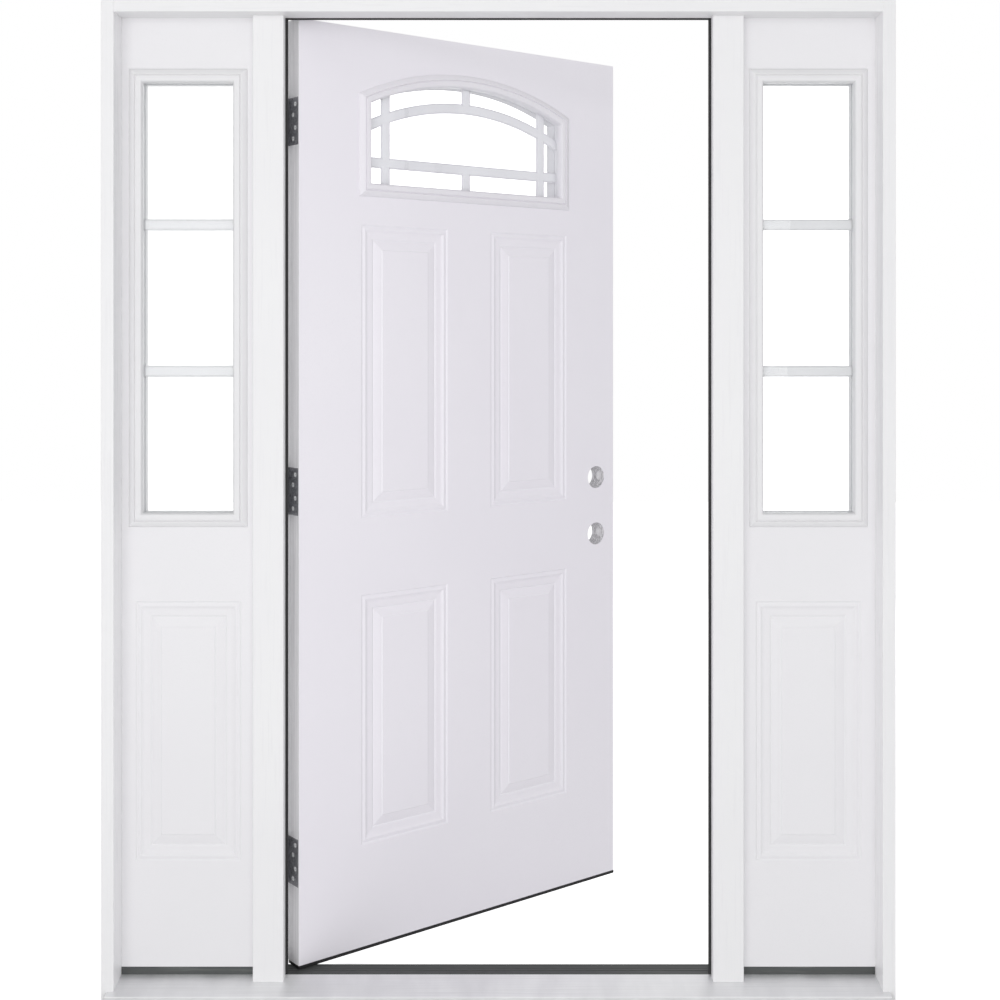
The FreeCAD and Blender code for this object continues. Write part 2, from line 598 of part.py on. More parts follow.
def sweep():
    """A strip under the leaf with downward fins, just clear of the threshold."""
    half = LEAF_X - SWEEP_INSET
    y0 = SWEEP_INSET
    y1 = LEAF_THICKNESS - SWEEP_INSET
    plate_z = LEAF_Z - SWEEP_PLATE
    strips = [box(-half, half, y0, y1, plate_z, LEAF_Z)]
    pitch = (y1 - y0 - SWEEP_FIN) / (SWEEP_FINS - 1)
    for count in range(SWEEP_FINS):
        fin_y = y0 + pitch * count
        strips.append(box(-half, half, fin_y, fin_y + SWEEP_FIN, SILL_HEIGHT + SWEEP_GAP, plate_z))
    return fused(strips)


def hinge_leaf(face_x, thickness, mid_z, first_knuckle):
    """A hinge plate let into the face at face_x, with every second knuckle from first_knuckle up."""
    z = mid_z - HINGE_LENGTH / 2
    x0 = min(face_x, face_x + thickness)
    x1 = max(face_x, face_x + thickness)
    clear_y = PIN_Y - BARREL_RADIUS - BARREL_CLEARANCE
    parts = [box(x0, x1, LEAF_THICKNESS - HINGE_PLATE_WIDTH, clear_y, z, z + HINGE_LENGTH)]
    pitch = HINGE_LENGTH / KNUCKLES
    for count in range(first_knuckle, KNUCKLES, 2):
        low = z + pitch * count + (KNUCKLE_GAP / 2 if count else 0.0)
        high = z + pitch * (count + 1) - (KNUCKLE_GAP / 2 if count < KNUCKLES - 1 else 0.0)
        parts.append(Part.makeCylinder(BARREL_RADIUS, high - low, V(PIN_X, PIN_Y, low)))
        parts.append(box(x0, x1, clear_y, PIN_Y, low, high))
    bore = Part.makeCylinder(PIN_RADIUS + PIN_FIT, HINGE_LENGTH, V(PIN_X, PIN_Y, z))
    return fused(parts).cut(bore)


def hinge_pin(mid_z):
    """A pin whose round head rests on the top knuckle."""
    z = mid_z - HINGE_LENGTH / 2
    shank = Part.makeCylinder(PIN_RADIUS, HINGE_LENGTH, V(PIN_X, PIN_Y, z))
    head = Part.makeCylinder(PIN_HEAD_RADIUS, PIN_HEAD, V(PIN_X, PIN_Y, z + HINGE_LENGTH))
    return fused([shank, head])


def opened(shape):
    turned = shape.copy()
    turned.rotate(V(PIN_X, PIN_Y, 0), V(0, 0, 1), OPEN_ANGLE)
    return turned


def all_pieces():
    jamb, head, post, casing = frame_pieces()
    rail = sidelite_rail()
    side_seal, head_seal = seal_pieces()
    pieces = {
        "left_jamb": mirrored(jamb),
        "right_jamb": jamb,
        "head_jamb": head,
        "left_mull_post": mirrored(post).cut(hinge_mortises(-RABBET_X, -HINGE_PLATE)),
        "right_mull_post": post,
        "left_mull_casing": mirrored(casing),
        "right_mull_casing": casing,
        "sill_base": sill_base(),
        "sill_deck": sill_deck(),
        "threshold_cap": threshold_cap(),
        "sidelite_rails": Part.makeCompound([mirrored(rail), rail]),
        "hinge_side_seal": mirrored(side_seal),
        "latch_side_seal": side_seal,
        "head_seal": head_seal,
        "corner_pads": Part.makeCompound([mirrored(corner_pad()), corner_pad()]),
        "hinge_pins": Part.makeCompound([hinge_pin(z) for z in HINGES.values()]),
    }
    for name, shape in sidelite_pieces().items():
        pieces["left_sidelite_" + name] = mirrored(shape)
        pieces["right_sidelite_" + name] = shape
    for name, z in HINGES.items():
        pieces[name + "_hinge_jamb_leaf"] = hinge_leaf(-RABBET_X, -HINGE_PLATE, z, 0)
        pieces[name + "_hinge_door_leaf"] = opened(hinge_leaf(-LEAF_X, HINGE_PLATE, z, 1))
    for name, shape in leaf_pieces().items():
        pieces[name] = opened(shape)
    return pieces


os.makedirs("parts", exist_ok=True)
for node, solid in all_pieces().items():
    solid.exportStep("parts/" + node + ".step")
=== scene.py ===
import json
import math

import bmesh
import bpy
from mathutils import Matrix, Vector


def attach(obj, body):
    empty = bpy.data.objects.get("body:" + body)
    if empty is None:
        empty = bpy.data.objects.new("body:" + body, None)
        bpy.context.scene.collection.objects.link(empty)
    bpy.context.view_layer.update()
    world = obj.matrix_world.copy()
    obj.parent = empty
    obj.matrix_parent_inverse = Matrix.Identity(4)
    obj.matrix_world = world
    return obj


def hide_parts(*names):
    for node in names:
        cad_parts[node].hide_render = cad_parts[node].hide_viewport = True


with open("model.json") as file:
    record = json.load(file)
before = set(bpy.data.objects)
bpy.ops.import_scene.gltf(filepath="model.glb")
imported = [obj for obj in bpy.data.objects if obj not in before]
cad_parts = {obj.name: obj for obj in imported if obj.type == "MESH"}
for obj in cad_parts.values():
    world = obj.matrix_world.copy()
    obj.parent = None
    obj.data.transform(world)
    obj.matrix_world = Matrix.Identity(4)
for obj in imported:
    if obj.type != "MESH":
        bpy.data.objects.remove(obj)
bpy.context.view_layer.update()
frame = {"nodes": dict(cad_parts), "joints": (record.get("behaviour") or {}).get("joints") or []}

MM = 0.001

# The leaf, laid out closed as in the shop drawing, and how far it stands open
LEAF_X = 454.0
LEAF_THICK = 44.45
LEAF_FOOT = 38.0
LEAF_TOP = 2051.0
LATCH_BEVEL = 2.3
SKIN = 0.8
OPEN_ANGLE = math.radians(38.3)
PIN = Vector(frame["joints"][0]["pos_m"]) / MM

# Raised panels, by width, foot and top
PANEL_PITCH = 359.0
LOWER_PANEL = (235.5, 260.5, 809.5)
UPPER_PANEL = (235.5, 975.5, 1620.5)
SIDE_PANEL = (224.0, 268.5, 817.5)

# Lites, by the width, foot and top of their clear glass, and the radius of the leaf's camber
LITE = (546.0, 1712.0, 1946.0, 671.5)
SIDE_LITE = (190.0, 1003.0, 1909.25)

# Sidelite slabs, and the glass units of all lites
SIDELITE_MID = 653.75
SIDELITE_WIDTH = 298.0
SIDELITE_Z = (46.0, 2054.25)
SIDELITE_FRONT = -8.0
ARRIS = 0.5
GLASS_SETBACK = 9.5
GLASS_UNIT = 12.7
INNER_SETBACK = LEAF_THICK - GLASS_SETBACK - GLASS_UNIT
PANE = 3.2
SPACER = 5.0
GLASS_BITE = 6.0
CUTOUT = 8.0
MOULDING_TURN = 32.0

# Grille bars. Their ends run under the frame by BAR_END. In the leaf, the low bar and the arch lie
# inside the edge of the clear glass, and the uprights each side of its middle.
BAR_WIDTH = 24.0
BAR_END = 3.5
LOW_BAR = 48.0
ARCH_BAR = 45.0
ARCH_PARTS = 48
UPRIGHT_BARS = 224.5
LESS_FULL = 0.93
SIDELITE_BARS = 2

# Hinges, with the screws of a plate as height from its middle and depth from the leaf's face
HINGE_HEIGHTS = (254.0, 1044.0, 1834.0)
HINGE_LENGTH = 101.6
HINGE_GAP = 5.0
PLATE = 2.2
SCREW_SPOTS = ((36.5, 16.0), (14.0, 25.0), (-14.0, 16.0), (-36.5, 25.0))
SCREW_RADIUS = 5.0
SCREW_PARTS = 24
CROSS_ARM = 2.3
CROSS_WIDTH = 0.55

# The sweep under the leaf
SWEEP_INSET = 0.5
SWEEP_FINS = 11
FIN_THICK = 1.4
CARRIER_MID = 37.1
CARRIER_THICK = 1.8

# Lock bores
BORE_X = 393.7
BORE_HEIGHTS = (886.0, 1025.7)
BORE_RADIUS = 27.0

# Verts of a CAD node nearer than this, in metres, are one; faces that turn by less than this are one flat face
WELD = 2e-6
FLAT = math.radians(0.4)

# The camera, fitted to the photo, in metres
CAMERA_PLACE = (0.0, -3.095, 1.3767)
CAMERA_LENS = 52.71
CAMERA_SHIFT = (0.0017, -0.1644)


def turned_open():
    """The turn about the hinge pins that takes the leaf from closed to where it stands."""
    pin = Vector((PIN.x, PIN.y, 0.0)) * MM
    return Matrix.Translation(pin) @ Matrix.Rotation(OPEN_ANGLE, 4, "Z") @ Matrix.Translation(-pin)


# Finishes

class Finish:
    """A material with one Principled shader, and short ways to hang patterns on it."""

    def __init__(self, name, roughness, metallic=0.0, coat=0.0, coat_roughness=0.1, specular=0.5):
        self.material = bpy.data.materials.new(name)
        self.material.use_nodes = True
        self.tree = self.material.node_tree
        self.tree.nodes.clear()
        self.out = self.tree.nodes.new("ShaderNodeOutputMaterial")
        self.shader = self.tree.nodes.new("ShaderNodeBsdfPrincipled")
        self.link(self.shader.outputs["BSDF"], self.out.inputs["Surface"])
        self.set("Roughness", roughness)
        self.set("Metallic", metallic)
        self.set("Coat Weight", coat)
        self.set("Coat Roughness", coat_roughness)
        self.set("Specular IOR Level", specular)
        self.place = self.tree.nodes.new("ShaderNodeTexCoord").outputs["Object"]
        self.last_bump = None

    def link(self, start, end):
        self.tree.links.new(start, end)

    def set(self, socket, value):
        """A value that is the same all over the surface."""
        self.shader.inputs[socket].default_value = value

    def stretched(self, scale):
        """Object coordinates, times so much along each axis."""
        mapping = self.tree.nodes.new("ShaderNodeMapping")
        mapping.inputs["Scale"].default_value = scale
        self.link(self.place, mapping.inputs["Vector"])
        return mapping.outputs["Vector"]

    def noise(self, scale, stretch=(1.0, 1.0, 1.0), detail=4.0, roughness=0.55):
        """A cloudy pattern; a small stretch along an axis draws it out into lines that way."""
        node = self.tree.nodes.new("ShaderNodeTexNoise")
        node.inputs["Scale"].default_value = scale
        node.inputs["Detail"].default_value = detail
        node.inputs["Roughness"].default_value = roughness
        self.link(self.stretched(stretch), node.inputs["Vector"])
        return node.outputs["Fac"]

    def cells(self, scale, stretch=(1.0, 1.0, 1.0)):
        """A pattern of cells, 0 in the middle of each."""
        node = self.tree.nodes.new("ShaderNodeTexVoronoi")
        node.inputs["Scale"].default_value = scale
        self.link(self.stretched(stretch), node.inputs["Vector"])
        return node.outputs["Distance"]

    def sideways(self):
        """How far the surface faces left or right: 0 on fronts and backs, 1 on sides."""
        normal = self.tree.nodes.new("ShaderNodeNewGeometry").outputs["Normal"]
        parts = self.tree.nodes.new("ShaderNodeSeparateXYZ")
        size = self.tree.nodes.new("ShaderNodeMath")
        size.operation = "ABSOLUTE"
        self.link(normal, parts.inputs["Vector"])
        self.link(parts.outputs["X"], size.inputs[0])
        return size.outputs[0]

    def spread(self, value, low, high, start=0.3, end=0.7):
        """value from start..end carried over to low..high."""
        node = self.tree.nodes.new("ShaderNodeMapRange")
        node.inputs["From Min"].default_value = start
        node.inputs["From Max"].default_value = end
        node.inputs["To Min"].default_value = low
        node.inputs["To Max"].default_value = high
        self.link(value, node.inputs["Value"])
        return node.outputs["Result"]

    def blend(self, value, dark, light, start=0.3, end=0.7):
        """A colour between dark and light by the pattern value."""
        node = self.tree.nodes.new("ShaderNodeMix")
        node.data_type = "RGBA"
        self.link(self.spread(value, 0.0, 1.0, start, end), node.inputs["Factor"])
        for socket, colour in zip(("A_Color", "B_Color"), (dark, light)):
            found = [s for s in node.inputs if s.identifier == socket][0]
            if isinstance(colour, tuple):
                found.default_value = (*colour, 1.0)
            else:
                self.link(colour, found)
        return [s for s in node.outputs if s.identifier == "Result_Color"][0]

    def colour(self, source):
        self.link(source, self.shader.inputs["Base Color"])

    def rough(self, value, low, high):
        """Roughness from low to high by the pattern value."""
        self.link(self.spread(value, low, high), self.shader.inputs["Roughness"])

    def bump(self, value, height_mm, strength=1.0):
        """Relief by the pattern value, on top of any bump before it."""
        node = self.tree.nodes.new("ShaderNodeBump")
        node.inputs["Strength"].default_value = strength
        node.inputs["Distance"].default_value = height_mm * MM
        self.link(value, node.inputs["Height"])
        if self.last_bump:
            self.link(self.last_bump, node.inputs["Normal"])
        self.last_bump = node.outputs["Normal"]
        self.link(self.last_bump, self.shader.inputs["Normal"])


def grey(value, tint=0.0):
    """A white or grey with a little more blue, and then red, than green."""
    return (value * (1.0 - 0.5 * tint), value * (1.0 - tint), value)


def primed_board(name, along, level=0.865, painted_light_side_level=0.95):
    """Factory primer over planed wood: faint grain, roller texture, and painted light: faces turned to the
    sides are painted a lighter white.
    """
    finish = Finish(name, 0.42, specular=0.4)
    stretch = {"x": (0.035, 1.0, 1.0), "z": (1.0, 1.0, 0.035)}[along]
    grain = finish.noise(260.0, stretch, detail=5.0)
    wash = finish.noise(2.2, detail=3.0)
    front = finish.blend(wash, grey(level * 0.985, 0.012), grey(level * 1.008, 0.006))
    # Painted light: faces that look left or right, such as the returns of the jambs, are painted a lighter
    # white than the fronts.
    base = finish.blend(finish.sideways(), front, grey(painted_light_side_level, 0.01), 0.6, 0.9)
    finish.colour(finish.blend(grain, grey(level * 0.975, 0.012), base, 0.32, 0.46))
    finish.rough(finish.noise(90.0, detail=2.0), 0.36, 0.5)
    finish.bump(grain, 0.05, 0.5)
    finish.bump(finish.noise(900.0, detail=2.0), 0.02, 0.5)
    return finish.material


def primed_steel(name, level, tint=0.055):
    """Baked primer on pressed steel: an even satin film with fine orange peel."""
    finish = Finish(name, 0.38, coat=0.08, coat_roughness=0.25, specular=0.45)
    wash = finish.noise(1.6, detail=3.0)
    fine = finish.noise(340.0, detail=2.0)
    base = finish.blend(wash, grey(level * 0.985, tint * 1.1), grey(level * 1.01, tint * 0.9))
    finish.colour(finish.blend(fine, grey(level * 0.985, tint * 1.1), base, 0.3, 0.45))
    finish.rough(finish.noise(140.0, detail=2.0), 0.34, 0.44)
    finish.bump(finish.noise(420.0, detail=1.5, roughness=0.4), 0.03, 0.45)
    return finish.material


def moulded_white(name, level, tint=0.012):
    """Injection-moulded frame round the glass: a fine even stipple."""
    finish = Finish(name, 0.4, specular=0.45)
    stipple = finish.noise(1500.0, detail=2.0)
    wash = finish.noise(5.0, detail=2.0)
    base = finish.blend(wash, grey(level * 0.985, tint * 1.2), grey(level * 1.005, tint))
    finish.colour(finish.blend(stipple, grey(level * 0.98, tint * 1.2), base, 0.3, 0.42))
    finish.rough(stipple, 0.36, 0.46)
    finish.bump(stipple, 0.02, 0.5)
    return finish.material


def bar_enamel(name, level, tint):
    """White baked enamel on rolled aluminium grille bars, with drawing lines along the roll."""
    finish = Finish(name, 0.34, coat=0.15, coat_roughness=0.2)
    drawn = finish.noise(700.0, (1.0, 1.0, 0.6), detail=3.0)
    wash = finish.noise(9.0, detail=2.0)
    base = finish.blend(wash, grey(level * 0.985, tint), grey(level * 1.005, tint))
    finish.colour(finish.blend(drawn, grey(level * 0.975, tint), base, 0.3, 0.42))
    finish.rough(drawn, 0.3, 0.42)
    finish.bump(drawn, 0.015, 0.4)
    return finish.material


def primed_edge(name, level=0.98):
    """Edge of the leaf: primed composite stile with fine saw lines running up."""
    finish = Finish(name, 0.55, specular=0.3)
    lines = finish.noise(300.0, (1.0, 1.0, 0.01), detail=4.0)
    specks = finish.noise(850.0, detail=3.0)
    base = finish.blend(specks, grey(level * 0.95, 0.02), grey(level, 0.015), 0.35, 0.5)
    finish.colour(finish.blend(lines, grey(level * 0.86, 0.02), base, 0.38, 0.52))
    finish.rough(lines, 0.48, 0.62)
    finish.bump(lines, 0.08, 0.6)
    return finish.material


def bore_wood(name):
    """Cut wall of the lock block in the bores: open end grain with chips and dark pores."""
    finish = Finish(name, 0.85, specular=0.2)
    fibres = finish.noise(300.0, (1.0, 1.0, 0.2), detail=6.0, roughness=0.7)
    pores = finish.cells(520.0)
    body = finish.blend(fibres, grey(0.46, 0.03), grey(0.94, 0.03), 0.42, 0.6)
    finish.colour(finish.blend(pores, grey(0.34, 0.03), body, 0.08, 0.3))
    finish.rough(fibres, 0.75, 0.95)
    finish.bump(fibres, 0.35, 0.8)
    finish.bump(pores, 0.2, 0.6)
    return finish.material


def core_foam(name):
    """Rigid insulating foam: pale, full of small closed cells."""
    finish = Finish(name, 0.9, specular=0.2)
    bubbles = finish.cells(900.0)
    patch = finish.noise(60.0, detail=4.0)
    body = finish.blend(patch, (0.62, 0.6, 0.52), (0.72, 0.7, 0.61))
    finish.colour(finish.blend(bubbles, (0.45, 0.43, 0.37), body, 0.05, 0.35))
    finish.rough(patch, 0.82, 0.95)
    finish.bump(bubbles, 0.25, 0.8)
    return finish.material


def mill_aluminium(name):
    """Extruded sill cover: fine die lines along the sill, a cloudy satin sheen."""
    finish = Finish(name, 0.5, metallic=0.75)
    die_lines = finish.noise(900.0, (0.004, 1.0, 1.0), detail=4.0, roughness=0.6)
    cloud = finish.noise(7.0, (3.0, 1.0, 1.0), detail=3.0)
    base = finish.blend(cloud, (0.8, 0.802, 0.812), (0.89, 0.892, 0.9))
    finish.colour(finish.blend(die_lines, (0.76, 0.762, 0.77), base, 0.3, 0.5))
    finish.rough(cloud, 0.44, 0.56)
    finish.bump(die_lines, 0.015, 0.35)
    return finish.material


def dark_composite(name, level=0.052):
    """Threshold and sidelite rails: dark grey-green moulding with a fine texture and scuffs along it."""
    finish = Finish(name, 0.5, specular=0.4)
    scuff = finish.noise(160.0, (0.05, 1.0, 1.0), detail=5.0, roughness=0.6)
    speckle = finish.noise(1400.0, detail=2.0)
    dark = (level * 0.8, level * 0.86, level * 0.84)
    light = (level, level * 1.06, level * 1.04)
    scuffed = (level * 1.5, level * 1.6, level * 1.55)
    base = finish.blend(speckle, dark, light)
    finish.colour(finish.blend(scuff, base, scuffed, 0.52, 0.72))
    finish.rough(scuff, 0.42, 0.6)
    finish.bump(speckle, 0.03, 0.6)
    return finish.material


def sill_substrate(name):
    """Solid composite under the sill cover, saw-cut at its ends."""
    finish = Finish(name, 0.75, specular=0.3)
    chips = finish.noise(240.0, detail=5.0, roughness=0.7)
    layers = finish.noise(300.0, (0.05, 1.0, 1.0), detail=3.0)
    body = finish.blend(chips, (0.09, 0.088, 0.085), (0.15, 0.147, 0.142))
    finish.colour(finish.blend(layers, (0.075, 0.073, 0.07), body, 0.35, 0.5))
    finish.rough(chips, 0.66, 0.85)
    finish.bump(chips, 0.12, 0.7)
    return finish.material


def foam_seal(name, level=0.03):
    """Foam-filled seal in a thin dark film: soft creases across it."""
    finish = Finish(name, 0.62, specular=0.35)
    creases = finish.noise(120.0, (1.0, 1.0, 1.6), detail=4.0)
    film = finish.noise(1100.0, detail=2.0)
    finish.colour(finish.blend(film, grey(level * 0.8, 0.03), grey(level * 1.25, 0.03)))
    finish.rough(creases, 0.52, 0.72)
    finish.bump(creases, 0.2, 0.5)
    finish.bump(film, 0.03, 0.5)
    return finish.material


def brush_pile(name):
    """Corner pad: cut foam faced with short dark pile."""
    finish = Finish(name, 0.9, specular=0.15)
    pile = finish.cells(1600.0, (1.0, 1.0, 0.5))
    clump = finish.noise(180.0, detail=3.0)
    body = finish.blend(clump, (0.016, 0.016, 0.018), (0.032, 0.032, 0.035))
    finish.colour(finish.blend(pile, (0.01, 0.01, 0.011), body, 0.05, 0.4))
    finish.rough(clump, 0.85, 0.98)
    finish.bump(pile, 0.4, 0.9)
    return finish.material


def plated_steel(name, dark, light, low, high, metallic=0.4):
    """Rolled and plated steel: brush lines up the plate, speckled plating."""
    finish = Finish(name, low, metallic=metallic)
    brushed = finish.noise(650.0, (1.0, 1.0, 0.2), detail=3.0)
    cloud = finish.noise(420.0, detail=3.0, roughness=0.7)
    tone = finish.blend(cloud, dark, light)
    finish.colour(finish.blend(brushed, dark, tone, 0.32, 0.48))
    finish.rough(cloud, low, high)
    finish.bump(brushed, 0.02, 0.5)
    return finish.material


def clear_glass(name):
    """Float glass with a hint of roller wave; rays from lamps pass straight through."""
    finish = Finish(name, 0.0)
    finish.set("Transmission Weight", 1.0)
    finish.set("IOR", 1.45)
    wave = finish.noise(4.0, (1.0, 1.0, 0.6), detail=1.0)
    finish.colour(finish.blend(wave, (0.994, 0.998, 0.997), (1.0, 1.0, 1.0)))
    finish.bump(wave, 0.02, 0.3)
    tree = finish.tree
    path = tree.nodes.new("ShaderNodeLightPath")
    through = tree.nodes.new("ShaderNodeBsdfTransparent")
    through.inputs["Color"].default_value = (0.97, 0.98, 0.98, 1.0)
    mix = tree.nodes.new("ShaderNodeMixShader")
    either = tree.nodes.new("ShaderNodeMath")
    either.operation = "MAXIMUM"
    finish.link(path.outputs["Is Shadow Ray"], either.inputs[0])
    finish.link(path.outputs["Is Diffuse Ray"], either.inputs[1])
    finish.link(either.outputs[0], mix.inputs["Fac"])
    finish.link(finish.shader.outputs["BSDF"], mix.inputs[1])
    finish.link(through.outputs["BSDF"], mix.inputs[2])
    finish.link(mix.outputs["Shader"], finish.out.inputs["Surface"])
    return finish.material


UPRIGHT_BOARD = primed_board("primed_upright_board", "z")
LEVEL_BOARD = primed_board("primed_level_board", "x")
# The leaf's copies of the primer, the lite-frame plastic and the bar enamel are lighter and a little more
# lavender than the sidelites' copies of the same finishes; the difference in lightness is painted light, with
# the sidelites' copies painted darker.
STEEL = primed_steel("primed_steel_skin", 0.93)
SLAB = primed_steel("primed_sidelite_slab", 0.845, 0.02)
MOULDED = moulded_white("moulded_lite_frame", 0.82)
LEAF_MOULDED = moulded_white("moulded_leaf_lite_frame", 0.88, 0.045)
ENAMEL = bar_enamel("sidelite_bar_enamel", 0.75, 0.02)
LEAF_ENAMEL = bar_enamel("leaf_bar_enamel", 0.92, 0.045)
EDGE = primed_edge("primed_leaf_edge")
BORE = bore_wood("lock_block_end_grain")
FOAM = core_foam("core_foam")
ALUMINIUM = mill_aluminium("sill_aluminium")
COMPOSITE = dark_composite("threshold_composite")
RAIL = dark_composite("sidelite_rail_composite", 0.09)
SUBSTRATE = sill_substrate("sill_substrate")
SEAL = foam_seal("seal_film")
SWEEP = foam_seal("sweep_vinyl", 0.022)
PILE = brush_pile("corner_pad_pile")
HINGE = plated_steel("hinge_plating", (0.1, 0.1, 0.112), (0.6, 0.6, 0.64), 0.36, 0.5)
SCREW = plated_steel("screw_zinc", (0.95, 0.95, 0.96), (1.0, 1.0, 1.0), 0.3, 0.42, 0.0)
GLASS = clear_glass("clear_glass")


# Making and placing pieces

def finished(name, mesh, material, body, stands_for=(), turn=None):
    """An object from a mesh in metres: placed, painted, riding on its body."""
    if turn:
        mesh.transform(turn)
    mesh.materials.clear()
    mesh.materials.append(material)
    piece = bpy.data.objects.new(name, mesh)
    bpy.context.scene.collection.objects.link(piece)
    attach(piece, body)
    if stands_for:
        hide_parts(*stands_for)
    return piece


def to_mesh(bm, name, scale=MM):
    """The bmesh, drawn in millimetres unless scale says otherwise, as a mesh in metres."""
    bmesh.ops.scale(bm, vec=(scale, scale, scale), verts=bm.verts)
    mesh = bpy.data.meshes.new(name)
    bm.to_mesh(mesh)
    bm.free()
    return mesh


def shaded(bm, degrees=30.0):
    """Smooth shading, with an edge kept where one is marked or the surface turns by more than degrees."""
    for face in bm.faces:
        face.smooth = True
    for edge in bm.edges:
        if len(edge.link_faces) != 2 or edge.calc_face_angle(0.0) > math.radians(degrees):
            edge.smooth = False


def with_modifier(mesh, kind, **settings):
    """The mesh that a modifier of this kind makes of mesh."""
    holder = bpy.data.objects.new("holder", mesh)
    bpy.context.scene.collection.objects.link(holder)
    modifier = holder.modifiers.new(kind.lower(), kind)
    for key, value in settings.items():
        setattr(modifier, key, value)
    seen = holder.evaluated_get(bpy.context.evaluated_depsgraph_get())
    made = bpy.data.meshes.new_from_object(seen)
    bpy.data.objects.remove(holder)
    return made


def eased(node, material, body, ease=0.4, segments=2):
    """The CAD node with its arrises eased, in the same place."""
    bm = bmesh.new()
    bm.from_mesh(frame["nodes"][node].data)
    bmesh.ops.remove_doubles(bm, verts=bm.verts, dist=WELD)
    bmesh.ops.dissolve_limit(bm, angle_limit=FLAT, verts=bm.verts, edges=bm.edges)
    shaded(bm, 35.0)
    mesh = to_mesh(bm, node + "_eased", 1.0)
    mesh = with_modifier(mesh, "BEVEL", width=ease * MM, segments=segments, limit_method="ANGLE",
                         angle_limit=math.radians(40.0), harden_normals=True, use_clamp_overlap=True)
    return finished(node + "_eased", mesh, material, body, (node,))


class Outline:
    """An upright rectangle, or one with a cambered top, drawn at any inset, in millimetres."""

    def __init__(self, mid_x, width, bottom, top, radius=None, parts=64):
        self.mid_x = mid_x
        self.half = width / 2
        self.bottom = bottom
        self.top = top
        self.radius = radius
        self.parts = parts

    def crown(self, x, inset):
        """Height of the top edge above x."""
        if not self.radius:
            return self.top - inset
        radius = self.radius - inset
        return self.top - inset - radius + math.sqrt(radius ** 2 - (x - self.mid_x) ** 2)

    def loop(self, inset):
        """The outline's points, inset by so much, from the bottom left round to the top left."""
        left = self.mid_x - self.half + inset
        right = self.mid_x + self.half - inset
        foot = self.bottom + inset
        points = [(left, foot), (right, foot), (right, self.crown(right, inset))]
        if self.radius:
            radius = self.radius - inset
            reach = math.asin((self.half - inset) / radius)
            centre = self.top - inset - radius
            for count in range(1, self.parts):
                angle = reach - 2 * reach * count / self.parts
                points.append((self.mid_x + radius * math.sin(angle), centre + radius * math.cos(angle)))
        return points + [(left, self.crown(left, inset))]

    def corners(self):
        """Which of the loop's points are its four corners."""
        last = 2 + (self.parts if self.radius else 1)
        return {0, 1, 2, last}


def drawn(bm, points, y):
    """Verts at the (x, z) points, all at the same y."""
    return [bm.verts.new((x, y, z)) for x, z in points]


def bridged(bm, first, second, corners=()):
    """Faces between two loops of as many points, with the mitres at corners kept sharp."""
    total = len(first)
    for count in range(total):
        ahead = (count + 1) % total
        bm.faces.new((first[count], first[ahead], second[ahead], second[count]))
    for count in corners:
        edge = bm.edges.get((first[count], second[count]))
        if edge:
            edge.smooth = False


def closed_loop(bm, verts):
    """Edges all round a loop, made where they don't exist yet."""
    edges = []
    for count, vert in enumerate(verts):
        ahead = verts[(count + 1) % len(verts)]
        edges.append(bm.edges.get((vert, ahead)) or bm.edges.new((vert, ahead)))
    return edges


def plate(bm, loops):
    """A flat face with holes between loops of verts in one plane, the outer loop first."""
    edges = []
    for loop in loops:
        edges += closed_loop(bm, loop)
    bmesh.ops.triangle_fill(bm, edges=edges, use_beauty=True)


def curve(start, end, steps, level_first):
    """Points of a quarter ellipse from start to end, level at its start or at its end."""
    points = []
    for step in range(1, steps + 1):
        angle = math.pi / 2 * step / steps
        along = math.sin(angle) if level_first else 1 - math.cos(angle)
        down = 1 - math.cos(angle) if level_first else math.sin(angle)
        points.append((start[0] + (end[0] - start[0]) * along, start[1] + (end[1] - start[1]) * down))
    return points


def panel_profile():
    """The raised panel's section from the face inwards, as (inset, depth)."""
    quirk = [(0.0, 0.0), (0.5, 0.08), (1.0, 0.35), (3.4, 2.25), (3.9, 2.5), (4.4, 2.55), (4.9, 2.4)]
    bead = [(9.3, 1.0), (10.2, 0.82), (11.2, 0.8), (12.0, 0.98), (12.7, 1.4)]
    step = [(15.3, 3.3), (15.9, 3.55), (16.8, 3.7)]
    cove = curve((16.8, 3.7), (30.6, 4.6), 5, False)
    valley = [(31.4, 4.95), (33.5, 6.25), (34.1, 6.5), (34.8, 6.5), (35.4, 6.25), (37.2, 5.4), (38.0, 5.15)]
    bevel = [(50.6, 2.15), (51.2, 2.05), (54.0, 1.8), (54.4, 1.62), (55.9, 0.3), (56.3, 0.08), (56.9, 0.0)]
    return quirk + bead + step + cove + valley + bevel


def pressed_panel(bm, panel, face_y, inwards):
    """The moulding and field of one raised panel; returns its outer loop for the plate around it."""
    loops = []
    for inset, depth in panel_profile():
        loops.append(drawn(bm, panel.loop(inset), face_y + inwards * depth))
    for first, second in zip(loops, loops[1:]):
        bridged(bm, first, second, panel.corners())
    bm.faces.new(loops[-1])
    for edge in closed_loop(bm, loops[0]) + closed_loop(bm, loops[-1]):
        edge.smooth = False
    return loops[0]


def circle(mid_x, mid_z, radius, parts=72):
    """Points round a circle."""
    return [(mid_x + radius * math.cos(2 * math.pi * count / parts),
             mid_z + radius * math.sin(2 * math.pi * count / parts)) for count in range(parts)]


def facing(bm, index, wish):
    """Turns an open sheet so that its largest face looks up or down the axis index, as the sign of wish."""
    bmesh.ops.recalc_face_normals(bm, faces=bm.faces)
    bm.faces.ensure_lookup_table()
    flat = max(bm.faces, key=lambda face: face.calc_area())
    if flat.normal[index] * wish < 0:
        bmesh.ops.reverse_faces(bm, faces=bm.faces)


# The leaf

LEAF_LITE = Outline(0.0, *LITE)
LEAF_PANELS = [Outline(side * PANEL_PITCH / 2, *size)
               for side in (-1, 1) for size in (LOWER_PANEL, UPPER_PANEL)]


